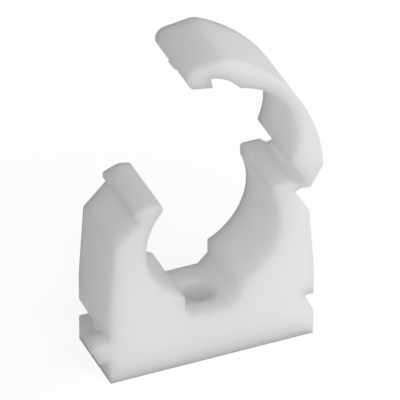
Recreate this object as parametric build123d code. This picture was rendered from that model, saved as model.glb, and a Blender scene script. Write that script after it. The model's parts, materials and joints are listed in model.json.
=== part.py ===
from build123d import *
import os
from math import cos, radians, sin, sqrt, tan

# Hinged clip that holds a pipe off a wall, moulded in one piece of natural white plastic.
# Millimetres. The clip stands on its wall face, z = 0, with the screw hole's axis as Z.
# The pipe runs along Y. Sections are drawn in the X-Z plane as (x, z).

# Main sizes
pipe_diameter = 22.0
pipe_height = 22.65
clip_depth = 13.0
arm_thickness = 5.85
rim_radius = 0.25

# Sides of the saddle
upright_height = 12.25
side_lean = 0.87
side_bend_radius = 40.0
shoulder_radius = 0.6

# Channel for the screw's head, and the screw hole
floor_thickness = 8.55
channel_width = 9.2
channel_chamfer = 1.65
screw_hole_diameter = 5.2

# Latch post: the left arm, with the nib that the strap's tooth catches under
latch_reach = 2.85
latch_land = 0.58
crown_rise = 0.6
crown_inset = 1.9
crown_radius = 3.0
nib_depth = 1.75
nib_drop = 0.5
nib_height = 0.95
nib_overhang = 0.8
nib_radius = 0.25
catch_angle = 34.0
latch_ramp_angle = 45.0

# Hinge post: the right arm, with the web that the strap swings on
lip_reach = 1.1
lip_height = 1.82
lip_radius = 0.6
hinge_offset = 3.5
hinge_drop = 1.18
hinge_ramp_angle = 60.0
groove_width = 0.15
groove_depth = 0.12
post_chamfer = 0.6
web_length = 1.4
web_thickness = 0.7
web_root_height = 1.3

# Strap, drawn closed over the pipe and then swung open to the angle it is moulded at
moulded_open_angle = 55.5
strap_clearance = 0.75
strap_shift = 0.36
strap_rise = 0.53
strap_thickness = 2.05
strap_hinge_drop = 4.12
strap_hinge_inset = 0.45
strap_latch_drop = 4.05
strap_latch_reach = 3.4
strap_corner_radius = 3.0
strap_tip_reach = 6.9
strap_tip_drop = 2.45
strap_tip_radius = 1.8
heel_length = 1.6
heel_drop = 0.5
heel_root_drop = 0.38
heel_radius = 0.25
seat_clearance = 0.12
latch_clearance = 0.1

# Pocket above the strap's tooth, roomier than the nib
pocket_reach = 0.95
pocket_rise = 0.73
pocket_mid_inset = 1.28
pocket_mid_rise = 0.86
pocket_end_inset = 0.1
pocket_end_rise = 1.0

# Stub of the moulding gate under the strap's tip
gate_inset = 2.7
gate_width = 1.4
gate_length = 1.0
gate_height = 0.18

# Links that hook clips together side by side: a lug at one end of each side, a notch at the other
link_low = 4.25
link_high = 7.65
link_gap = 1.85
notch_depth = 1.6
notch_length = 5.5
lug_length = 4.2
link_clearance = 0.15

# Places worked out from the sizes above
bore_radius = pipe_diameter / 2
half_width = bore_radius + arm_thickness
front_y = -clip_depth / 2
back_y = clip_depth / 2
shoulder_x = half_width - side_lean
latch_tip_x = bore_radius - latch_reach
latch_tip_z = pipe_height + sqrt(bore_radius**2 - latch_tip_x**2) + latch_land
nib_x = bore_radius + nib_depth
nib_top_z = latch_tip_z - nib_drop
catch_x = nib_x - nib_overhang
catch_z = nib_top_z - nib_height - nib_overhang * tan(radians(catch_angle))
latch_shoulder_z = catch_z - (shoulder_x - catch_x) * tan(radians(latch_ramp_angle))
lip_x = bore_radius - lip_reach
lip_z = pipe_height + sqrt(bore_radius**2 - lip_x**2) + lip_height
hinge_x = bore_radius + hinge_offset
hinge_z = lip_z - hinge_drop
web_start_x = hinge_x - web_length / 2
web_end_x = hinge_x + web_length / 2
web_low_z = hinge_z - web_root_height / 2
web_high_z = hinge_z + web_root_height / 2
heel_root_z = hinge_z - heel_root_drop
groove_x = web_start_x - groove_width
groove_z = web_low_z - groove_depth
hinge_shoulder_z = groove_z - (shoulder_x - groove_x) * tan(radians(hinge_ramp_angle))
strap_radius = bore_radius + strap_clearance
strap_centre_z = pipe_height + strap_rise
crown_top_z = strap_centre_z + strap_radius + strap_thickness
strap_tip_x = bore_radius + strap_tip_reach
strap_tip_z = catch_z - strap_tip_drop


def closed(x, z):
    """Where a point of the moulded, open strap lies once the strap is closed."""
    swing = radians(moulded_open_angle)
    across = x - hinge_x
    up = z - hinge_z
    return (
        hinge_x + across * cos(swing) - up * sin(swing),
        hinge_z + across * sin(swing) + up * cos(swing),
    )


def rounded_face(corners):
    """Face with the given corners, each a point and the radius it is rounded to."""
    points = [point for point, _ in corners]
    radii = [radius for _, radius in corners]
    return make_face(FilletPolyline(points, radius=radii, close=True))


def latch_outline():
    """Corners of the latch post, from its tip beside the bore over the nib to the shoulder."""
    return [
        ((-latch_tip_x, latch_tip_z), nib_radius),
        ((-latch_tip_x - crown_inset, latch_tip_z + crown_rise), crown_radius),
        ((-nib_x, nib_top_z), nib_radius),
        ((-nib_x, nib_top_z - nib_height), nib_radius),
        ((-catch_x, catch_z), 0),
        ((-shoulder_x, latch_shoulder_z), shoulder_radius),
    ]


def seat_room():
    """Section of what is open inside the saddle: the bore, and the channel for the screw's head below it."""
    half_channel = channel_width / 2
    chamfer_z = floor_thickness + channel_chamfer
    channel = make_face(
        Polyline(
            (-half_channel, pipe_height),
            (-half_channel, chamfer_z),
            (-half_channel + channel_chamfer, floor_thickness),
            (half_channel - channel_chamfer, floor_thickness),
            (half_channel, chamfer_z),
            (half_channel, pipe_height),
            close=True,
        )
    )
    return Pos(0, pipe_height) * Circle(bore_radius) + channel


def saddle_outline():
    """Outline of the saddle: the base and both posts, level with the pipe's axis between them."""
    right_side = [
        ((half_width, 0), 0),
        ((half_width, upright_height), side_bend_radius),
        ((shoulder_x, hinge_shoulder_z), shoulder_radius),
        ((groove_x, groove_z), 0),
        ((web_start_x, web_low_z), 0),
        ((web_start_x, web_high_z), 0),
        ((web_start_x - post_chamfer, lip_z), 0),
        ((lip_x, lip_z), lip_radius),
        ((lip_x, pipe_height), 0),
        ((-latch_tip_x, pipe_height), 0),
    ]
    left_side = [
        ((-half_width, upright_height), side_bend_radius),
        ((-half_width, 0), 0),
    ]
    return rounded_face(right_side + latch_outline() + left_side)


def web_face():
    """Section of the living hinge: a thin waist between two hollows, with a thicker root at each end."""
    low_start = (web_start_x, web_low_z)
    high_start = (web_start_x, web_high_z)
    low_end = (web_end_x, heel_root_z)
    high_end = (web_end_x, web_high_z)
    half_waist = web_thickness / 2
    return make_face(
        [
            Line(low_start, high_start),
            ThreePointArc(high_start, (hinge_x, hinge_z + half_waist), high_end),
            Line(high_end, low_end),
            ThreePointArc(low_end, (hinge_x, hinge_z - half_waist), low_start),
        ]
    )


def strap_outline():
    """Outline of the closed strap, filled in as far as the pipe and the latch post under it."""
    hinge_corner = (hinge_x - strap_hinge_inset, crown_top_z - strap_hinge_drop)
    crown = (-strap_shift, crown_top_z)
    latch_corner = (-bore_radius - strap_latch_reach, crown_top_z - strap_latch_drop)
    tip = (-strap_tip_x, strap_tip_z)
    heel = closed(hinge_x + heel_length, hinge_z - heel_drop)
    seat_z = lip_z + seat_clearance
    inside_x = bore_radius / 2
    blank = make_face(
        [
            ThreePointArc(hinge_corner, crown, latch_corner),
            Polyline(
                latch_corner,
                tip,
                (-catch_x, strap_tip_z),
                (-inside_x, pipe_height),
                (inside_x, seat_z),
                (web_start_x - post_chamfer, seat_z),
                closed(web_end_x, web_high_z),
                closed(web_end_x, heel_root_z),
                heel,
                hinge_corner,
            ),
        ]
    )
    rounded = [
        (latch_corner, strap_corner_radius),
        (tip, strap_tip_radius),
        (heel, heel_radius),
        (hinge_corner, heel_radius),
    ]
    for corner, radius in rounded:
        blank = fillet(blank.vertices().sort_by_distance(corner)[0], radius)
    return blank


def tooth_pocket():
    """Section of the pocket above the strap's tooth, where the nib has room to spring in."""
    catch = (-catch_x, catch_z)
    root = (-nib_x - pocket_reach, catch_z + pocket_rise)
    middle = (-nib_x + pocket_mid_inset, nib_top_z + pocket_mid_rise)
    end = (-latch_tip_x - pocket_end_inset, latch_tip_z + pocket_end_rise)
    inside = (-latch_tip_x + pocket_end_rise, latch_tip_z)
    return make_face([Line(catch, root), ThreePointArc(root, middle, end), Polyline(end, inside, catch)])


def gate_face():
    """Section of the gate stub under the tip of the closed strap."""
    return Pos(gate_inset - strap_tip_x, strap_tip_z) * Rectangle(gate_length, 2 * gate_height)


def strap_room():
    """Section of what is open under the closed strap: room for the pipe and for the latch post."""
    pipe_room = Pos(-strap_shift, strap_centre_z) * Circle(strap_radius)
    post_foot = [((-shoulder_x, pipe_height), 0), ((-latch_tip_x, pipe_height), 0)]
    post_room = offset(rounded_face(latch_outline() + post_foot), latch_clearance)
    return pipe_room + post_room + tooth_pocket()


def swung_open(face):
    """A section of the closed strap as it is moulded, swung open about the living hinge."""
    return Pos(hinge_x, hinge_z) * Rot(0, 0, -moulded_open_angle) * Pos(-hinge_x, -hinge_z) * face


def notch_face(side, deep_z, shallow_z):
    """Section of a link notch: a flat edge at its deep end and a slope out to the wall."""
    wall_x = side * half_width
    outside_x = side * (half_width + link_gap)
    return make_face(
        Polyline(
            (wall_x, shallow_z),
            (wall_x - side * notch_depth, deep_z),
            (outside_x, deep_z),
            (outside_x, shallow_z),
            close=True,
        )
    )


def lug_face(side, hook_z, root_z):
    """Section of a link lug that hooks into the notch of the next clip."""
    inside_x = side * (half_width - notch_depth)
    root_x = side * (half_width + link_gap)
    hook_x = root_x + side * (notch_depth - 2 * link_clearance)
    return make_face(
        Polyline((inside_x, root_z), (root_x, root_z), (hook_x, hook_z), (inside_x, hook_z), close=True)
    )


def along_pipe(face, start, end):
    """Solid of a section between two places along the pipe."""
    return Pos(0, start, 0) * extrude(Plane.XZ * face, start - end)


def moulded_bar(outline, room):
    """Solid of an outline over the clip's depth, with rounded outer rims and its inside cut right through."""
    bar = along_pipe(outline, front_y, back_y)
    rims = bar.edges().filter_by_position(Axis.Y, front_y, front_y)
    rims += bar.edges().filter_by_position(Axis.Y, back_y, back_y)
    return fillet(rims, rim_radius) - along_pipe(room, front_y, back_y)


def linked(saddle):
    """Saddle with its links: each side has a lug at one end and a notch at the other."""
    front_notch = notch_face(1, link_high, link_low)
    back_notch = notch_face(-1, link_low, link_high)
    front_lug = lug_face(-1, link_high - link_clearance, link_low)
    back_lug = lug_face(1, link_low + link_clearance, link_high)
    saddle -= along_pipe(front_notch, front_y, front_y + notch_length)
    saddle -= along_pipe(back_notch, back_y - notch_length, back_y)
    saddle += along_pipe(front_lug, front_y, front_y + lug_length)
    saddle += along_pipe(back_lug, back_y - lug_length, back_y)
    return saddle


# The saddle, with the screw hole through its floor
saddle = linked(moulded_bar(saddle_outline(), seat_room()))
saddle -= Pos(0, 0, floor_thickness / 2) * Cylinder(screw_hole_diameter / 2, floor_thickness)

# The living hinge runs between the rounded rims, and the strap hangs on it
hinge_web = along_pipe(web_face(), front_y + rim_radius, back_y - rim_radius)
strap = moulded_bar(swung_open(strap_outline()), swung_open(strap_room()))
strap += along_pipe(swung_open(gate_face()), -gate_width / 2, gate_width / 2)

os.makedirs("parts", exist_ok=True)
for name, solid in (("saddle", saddle), ("hinge_web", hinge_web), ("strap", strap)):
    export_step(solid, f"parts/{name}.step")
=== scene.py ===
# %% [markdown]
# # A hinged pipe clip in natural white plastic
#
# This clip holds a pipe off a wall. A block saddle carries a round pipe seat, and a curved strap hangs on a
# thin living hinge and snaps shut over the pipe. The whole clip is one injection moulding in one plastic.
#
# Its exact shape comes from the CAD frame, in metres. Blender adds what CAD does not show: one unbroken skin
# over the hinge, a milky plastic that lets light in, soft light and a camera.

# %% Load the CAD frame
import json
from math import cos, radians, sin

import bpy
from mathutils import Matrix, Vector

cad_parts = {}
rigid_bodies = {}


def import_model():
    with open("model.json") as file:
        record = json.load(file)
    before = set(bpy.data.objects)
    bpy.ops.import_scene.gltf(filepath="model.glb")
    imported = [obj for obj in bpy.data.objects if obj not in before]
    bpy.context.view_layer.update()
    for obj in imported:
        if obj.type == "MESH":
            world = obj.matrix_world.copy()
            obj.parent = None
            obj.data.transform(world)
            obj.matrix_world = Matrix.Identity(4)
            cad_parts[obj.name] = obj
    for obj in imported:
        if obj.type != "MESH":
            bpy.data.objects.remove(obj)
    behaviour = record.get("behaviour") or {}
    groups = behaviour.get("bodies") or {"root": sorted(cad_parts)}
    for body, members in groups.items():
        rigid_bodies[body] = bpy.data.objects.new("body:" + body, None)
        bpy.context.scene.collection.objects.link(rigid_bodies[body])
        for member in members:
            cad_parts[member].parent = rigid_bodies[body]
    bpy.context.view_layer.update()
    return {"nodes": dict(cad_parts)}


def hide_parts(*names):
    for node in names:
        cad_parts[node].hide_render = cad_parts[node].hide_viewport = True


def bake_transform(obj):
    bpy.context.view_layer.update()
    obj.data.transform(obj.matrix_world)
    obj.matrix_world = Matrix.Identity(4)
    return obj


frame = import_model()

MM = 0.001


print("CAD nodes:", sorted(frame["nodes"]))

# %% [markdown]
# ## Camera
#
# A product photograph of a small part is usually taken from far away with a long lens, which keeps parallel
# edges nearly parallel. A camera can be placed by hand, but it is easier to say which point it looks at, from
# which side and how high, and from how far, and then work out where it stands.

# %% Place the camera
LOOK_AT = Vector((0.60, 0.0, 25.36)) * MM
VIEW_SIDE = radians(-23.06)
VIEW_HEIGHT = radians(35.46)
VIEW_DISTANCE = 1.163
LENS_LENGTH = 690

towards_camera = Vector((
    sin(VIEW_SIDE) * cos(VIEW_HEIGHT),
    -cos(VIEW_SIDE) * cos(VIEW_HEIGHT),
    sin(VIEW_HEIGHT),
))
bpy.ops.object.select_all(action="DESELECT")
bpy.ops.object.camera_add(
    location=LOOK_AT + VIEW_DISTANCE * towards_camera,
    rotation=towards_camera.to_track_quat("Z", "Y").to_euler(),
)
camera = bpy.context.object
camera.data.lens = LENS_LENGTH
bpy.context.scene.camera = camera
print("Camera stands at, in mm:", [round(value / MM, 1) for value in camera.location])

# %% [markdown]
# ## One skin for one moulding
#
# The CAD model has three solids, because the strap has to swing. On the real clip there is no joint line: the
# plastic runs from the saddle through the web into the strap. If each solid kept its own skin, the light
# inside the plastic would stop at walls that are not there.
#
# So the three solids are copied, joined and welded. Where two solids touched, the weld leaves a wall inside
# the plastic. Blender finds such walls as faces whose edges all carry more than two faces. The flat sides
# come as many thin triangles, and dissolving the edges between level faces makes them whole again.

# %% Copy and join the three solids
bpy.ops.object.select_all(action="DESELECT")
for name in ("saddle", "hinge_web", "strap"):
    frame["nodes"][name].select_set(True)
bpy.context.view_layer.objects.active = frame["nodes"]["saddle"]
bpy.ops.object.duplicate()
bpy.ops.object.parent_clear(type="CLEAR")
bpy.ops.object.join()
clip = bpy.context.object
clip.name = "clip_moulding"
# The copy brings along the CAD node's own marks, which are not true of the new piece.
for mark in list(clip.keys()):
    del clip[mark]
print("Joined copy:", clip.name, len(clip.data.polygons), "faces")

# %% Weld the copy and take out the walls inside
WELD_GAP = 0.002 * MM
LEVEL_ANGLE = radians(0.6)

bpy.ops.object.mode_set(mode="EDIT")
bpy.ops.mesh.select_mode(type="FACE")
bpy.ops.mesh.select_all(action="SELECT")
bpy.ops.mesh.remove_doubles(threshold=WELD_GAP)
bpy.ops.mesh.select_all(action="DESELECT")
bpy.ops.mesh.select_interior_faces()
bpy.ops.mesh.delete(type="FACE")
bpy.ops.mesh.select_all(action="SELECT")
bpy.ops.mesh.dissolve_limited(angle_limit=LEVEL_ANGLE)
bpy.ops.mesh.customdata_custom_splitnormals_clear()
bpy.ops.object.mode_set(mode="OBJECT")
print("Welded skin:", len(clip.data.vertices), "points,", len(clip.data.polygons), "faces")

# %% [markdown]
# ## Smooth rims, flat faces
#
# The rims of the moulding are rounded, and its faces are flat. Plain smooth shading bends the light on a flat
# face towards its rounded rim. Smoothing by angle keeps the crisp edges, and a weighted normal modifier lets
# the large faces decide, so that they stay flat right up to the rim.

# %% Shade the skin
CRISP_ANGLE = radians(32)

bpy.ops.object.shade_smooth_by_angle(angle=CRISP_ANGLE)
bpy.ops.object.modifier_add(type="WEIGHTED_NORMAL")
clip.modifiers["WeightedNormal"].keep_sharp = True
bpy.ops.object.modifier_apply(modifier="WeightedNormal")
print("Crisp edges:", sum(edge.use_edge_sharp for edge in clip.data.edges))

# %% [markdown]
# ## Writing shader sums in Python
#
# Shader nodes are little sums wired together. This small class stands for one output of a node. Python's own
# signs on it add Math nodes, so that a roughness can be written as a sum. Every other node comes from one
# method, which sets the node first and then fills or links its sockets.

# %% A wire that can be added and multiplied
class Wire:
    """One output of a shader node, with the node tree that it belongs to."""

    def __init__(self, tree, socket=None):
        self.tree = tree
        self.socket = socket

    def feed(self, node, inputs):
        """Fill a node's sockets with values, or link them to wires."""
        for key, value in inputs.items():
            if isinstance(value, Wire):
                self.tree.links.new(value.socket, node.inputs[key])
            else:
                node.inputs[key].default_value = value

    def node(self, kind, settings, inputs, output=0):
        """Add a node, set it, feed it, and return the wire from one of its outputs."""
        made = self.tree.nodes.new(kind)
        for name, setting in settings.items():
            setattr(made, name, setting)
        self.feed(made, inputs)
        return Wire(self.tree, made.outputs[output])

    def maths(self, operation, first, second):
        return self.node("ShaderNodeMath", {"operation": operation}, {0: first, 1: second})

    def __add__(self, other):
        return self.maths("ADD", self, other)

    def __mul__(self, other):
        return self.maths("MULTIPLY", self, other)

    __radd__ = __add__
    __rmul__ = __mul__


print("Wire signs: + *")

# %% [markdown]
# ## Natural white plastic
#
# The clip is moulded in plastic with little or no colour added. Light goes in, wanders several millimetres
# and comes out again, so edges glow softly and shadows in corners are never dark. In Blender that is
# subsurface scattering.
#
# The melt leaves faint cloudy streaks where it flowed. A noise pattern mixes two close whites for them. It
# reads the object's own coordinates, which are in metres, so the size of the clouds is a real one.

# %% Start the plastic
plastic = bpy.data.materials.new("natural_white_plastic")
plastic.use_nodes = True
plastic_shader = plastic.node_tree.nodes["Principled BSDF"]
plastic_wire = Wire(plastic.node_tree)
place = plastic_wire.node("ShaderNodeTexCoord", {}, {}, "Object")


def mottle(per_metre, detail):
    """Soft random pattern on the plastic, with about this many spots in a metre."""
    return plastic_wire.node(
        "ShaderNodeTexNoise", {}, {"Vector": place, "Scale": per_metre, "Detail": detail}
    )


print("Started", plastic.name)

# %% Cloudy colour
MILK_SHADE = (0.89, 0.89, 0.888, 1.0)
MILK_LIGHT = (0.915, 0.915, 0.913, 1.0)
CLOUDS_PER_METRE = 110.0

clouds = mottle(CLOUDS_PER_METRE, detail=2.0)
milk = plastic_wire.node(
    "ShaderNodeMix", {"data_type": "RGBA"}, {0: clouds, 6: MILK_SHADE, 7: MILK_LIGHT}, output=2
)
print("Plastic between", MILK_SHADE[:3], "and", MILK_LIGHT[:3])

# %% [markdown]
# ## Satin surface
#
# The steel of the mould leaves a very fine grain, which makes the plastic satin instead of glossy. As the
# plastic cools it also shrinks a little unevenly, so its faces are faintly wavy. Both are far too small to
# model, so the grain and the clouds vary the roughness, and the grain and the waves go into a bump.

# %% Grain and waves
GRAINS_PER_METRE = 2600.0
WAVES_PER_METRE = 260.0
SATIN_ROUGHNESS = 0.36
GRAIN_ROUGHNESS = 0.10
CLOUD_ROUGHNESS = 0.08
GRAIN_RELIEF = 0.3
WAVE_RELIEF = 0.7

grain = mottle(GRAINS_PER_METRE, detail=2.0)
waves = mottle(WAVES_PER_METRE, detail=1.0)
roughness = SATIN_ROUGHNESS + GRAIN_ROUGHNESS * grain + CLOUD_ROUGHNESS * clouds
relief = GRAIN_RELIEF * grain + WAVE_RELIEF * waves
print("Grains of about", round(1 / GRAINS_PER_METRE / MM, 2), "mm")
print("Waves of about", round(1 / WAVES_PER_METRE / MM, 1), "mm")

# %% [markdown]
# ## Softened edges
#
# Light that wanders in the plastic makes the edges look much rounder than they are. A bevel on the mesh would
# have to be wider than the narrow faces at the nib and the hinge, where it tangles. A Bevel shader node turns
# only the direction of the surface from one face to the next, and leaves the shape as it is.
#
# Along the foot, a softened surface would turn towards the floor and draw a dark line. So the softening fades
# out near the floor, and the foot's edge stays crisp.

# %% Soften the edges above the foot
EDGE_SOFTNESS = 2.2 * MM
EDGE_SAMPLES = 16
FOOT_HEIGHT = 3.0 * MM
RELIEF_STRENGTH = 0.35
RELIEF_DEPTH = 0.02 * MM

rounded = plastic_wire.node("ShaderNodeBevel", {"samples": EDGE_SAMPLES}, {"Radius": EDGE_SOFTNESS})
flat = plastic_wire.node("ShaderNodeNewGeometry", {}, {}, "Normal")
height = plastic_wire.node("ShaderNodeSeparateXYZ", {}, {"Vector": place}, "Z")
above_foot = plastic_wire.node(
    "ShaderNodeMapRange", {"interpolation_type": "SMOOTHSTEP"}, {"Value": height, "From Max": FOOT_HEIGHT}
)
soft_edges = plastic_wire.node(
    "ShaderNodeMix", {"data_type": "VECTOR"}, {0: above_foot, 4: flat, 5: rounded}, output=1
)
soft_surface = plastic_wire.node("ShaderNodeBump", {}, {
    "Strength": RELIEF_STRENGTH,
    "Distance": RELIEF_DEPTH,
    "Height": relief,
    "Normal": soft_edges,
})
print("Edges softened over", EDGE_SOFTNESS / MM, "mm")

# %% Light inside the plastic
SCATTER_DEPTH = 9.0 * MM
PLASTIC_IOR = 1.49
GLOSS_LEVEL = 0.2

plastic_wire.feed(plastic_shader, {
    "Base Color": milk,
    "Roughness": roughness,
    "Normal": soft_surface,
    "IOR": PLASTIC_IOR,
    "Specular IOR Level": GLOSS_LEVEL,
    "Subsurface Weight": 1.0,
    "Subsurface Radius": (1.0, 1.0, 1.0),
    "Subsurface Scale": SCATTER_DEPTH,
})
clip.data.materials.clear()
clip.data.materials.append(plastic)
print("Light wanders about", SCATTER_DEPTH / MM, "mm in", plastic.name)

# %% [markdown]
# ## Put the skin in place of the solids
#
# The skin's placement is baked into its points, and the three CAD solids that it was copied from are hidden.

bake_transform(clip)
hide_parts("saddle", "hinge_web", "strap")

# %% [markdown]
# ## Floor and backdrop
#
# The clip stands on a white sweep. A floor lit until it is white would wash out the clip, so the floor stays
# plain and pale for the light that falls on the clip. In the camera's view its shading is half as strong and
# a glow is added to it: the open floor comes out white, and the clip's soft shadow stays on it. Reflections
# meet plain white, on the floor and in the world alike.

# %% Tell rays apart
def ray_kind(wire, kind):
    """1 for rays of this kind, as Blender names it, and 0 for all others."""
    return wire.node("ShaderNodeLightPath", {}, {}, kind)


def mirrored(wire):
    """1 for rays that come from gloss or through glass, and 0 for all others."""
    return wire.maths("MAXIMUM", ray_kind(wire, "Is Glossy Ray"), ray_kind(wire, "Is Transmission Ray"))


print("Rays are told apart by Blender's Light Path node")

# %% Lay the floor
FLOOR_SIZE = 1.6
FLOOR_DROP = 0.02 * MM

bpy.ops.object.select_all(action="DESELECT")
bpy.ops.mesh.primitive_plane_add(size=FLOOR_SIZE, location=(0, 0, -FLOOR_DROP))
floor = bpy.context.object
floor.name = "white_floor"
print("Floor of", FLOOR_SIZE, "m, just under the wall face")

# %% White paper that keeps the shadow
FLOOR_GLOW = 0.74
FLOOR_COLOUR = (0.95, 0.95, 0.95, 1.0)
HALF_COLOUR = (0.475, 0.475, 0.475, 1.0)
WHITE = (1.0, 1.0, 1.0, 1.0)

paper = bpy.data.materials.new("white_paper")
paper.use_nodes = True
paper_wire = Wire(paper.node_tree)
matt = paper_wire.node("ShaderNodeBsdfDiffuse", {}, {"Color": FLOOR_COLOUR})
half_matt = paper_wire.node("ShaderNodeBsdfDiffuse", {}, {"Color": HALF_COLOUR})
glow = paper_wire.node("ShaderNodeEmission", {}, {"Color": WHITE, "Strength": FLOOR_GLOW})
white = paper_wire.node("ShaderNodeEmission", {}, {"Color": WHITE, "Strength": 1.0})
in_view = paper_wire.node("ShaderNodeAddShader", {}, {0: half_matt, 1: glow})
out_of_view = paper_wire.node("ShaderNodeMixShader", {}, {0: mirrored(paper_wire), 1: matt, 2: white})
camera_ray = ray_kind(paper_wire, "Is Camera Ray")
sheet = paper_wire.node("ShaderNodeMixShader", {}, {0: camera_ray, 1: out_of_view, 2: in_view})
paper_wire.feed(paper.node_tree.nodes["Material Output"], {"Surface": sheet})
floor.data.materials.append(paper)
print("Paper with a glow of", FLOOR_GLOW, "in view")

# %% [markdown]
# ## Studio light
#
# The light is very soft, and hardly any of it comes from overhead: the front of the clip is bright, and faces
# that look up or left are a little darker. An even world gives the fill. A large soft box stands in front,
# and a smaller one at the right puts some light through the thin strap.
#
# White plastic throws back most of its light, so light goes to and fro in the screw hole many times before
# it fades. Blender stops after four such turns, which leaves the hole too dark, so the scene allows more.

# %% Even fill from the world
FILL_STRENGTH = 0.253
LIGHT_BOUNCES = 24

world = bpy.data.worlds.new("studio")
bpy.context.scene.world = world
world.use_nodes = True
world_wire = Wire(world.node_tree)
fill = world_wire.node("ShaderNodeBackground", {}, {"Color": WHITE, "Strength": FILL_STRENGTH})
backdrop = world_wire.node("ShaderNodeBackground", {}, {"Color": WHITE, "Strength": 1.0})
seen = world_wire.maths("MAXIMUM", ray_kind(world_wire, "Is Camera Ray"), mirrored(world_wire))
sky = world_wire.node("ShaderNodeMixShader", {}, {0: seen, 1: fill, 2: backdrop})
world_wire.feed(world.node_tree.nodes["World Output"], {"Surface": sky})
bpy.context.scene.view_settings.view_transform = "Standard"
bpy.context.scene.cycles.max_bounces = LIGHT_BOUNCES
bpy.context.scene.cycles.diffuse_bounces = LIGHT_BOUNCES
print("Fill strength", FILL_STRENGTH, "with", LIGHT_BOUNCES, "bounces")

# %% Two soft boxes
FRONT_BOX = {"towards": (0.0, -0.95, 0.30), "distance": 0.9, "size": 1.6, "watts": 9.4}
RIGHT_BOX = {"towards": (0.96, 0.0, 0.27), "distance": 0.6, "size": 0.45, "watts": 1.2}


def add_soft_box(name, towards, distance, size, watts):
    """Square lamp that stands in the given direction from the clip and faces it."""
    way = Vector(towards).normalized()
    bpy.ops.object.light_add(
        type="AREA",
        location=LOOK_AT + distance * way,
        rotation=way.to_track_quat("Z", "Y").to_euler(),
    )
    lamp = bpy.context.object
    lamp.name = name
    lamp.data.size = size
    lamp.data.energy = watts
    print(name, "of", watts, "W,", size, "m across")


add_soft_box("front_box", **FRONT_BOX)
add_soft_box("right_box", **RIGHT_BOX)
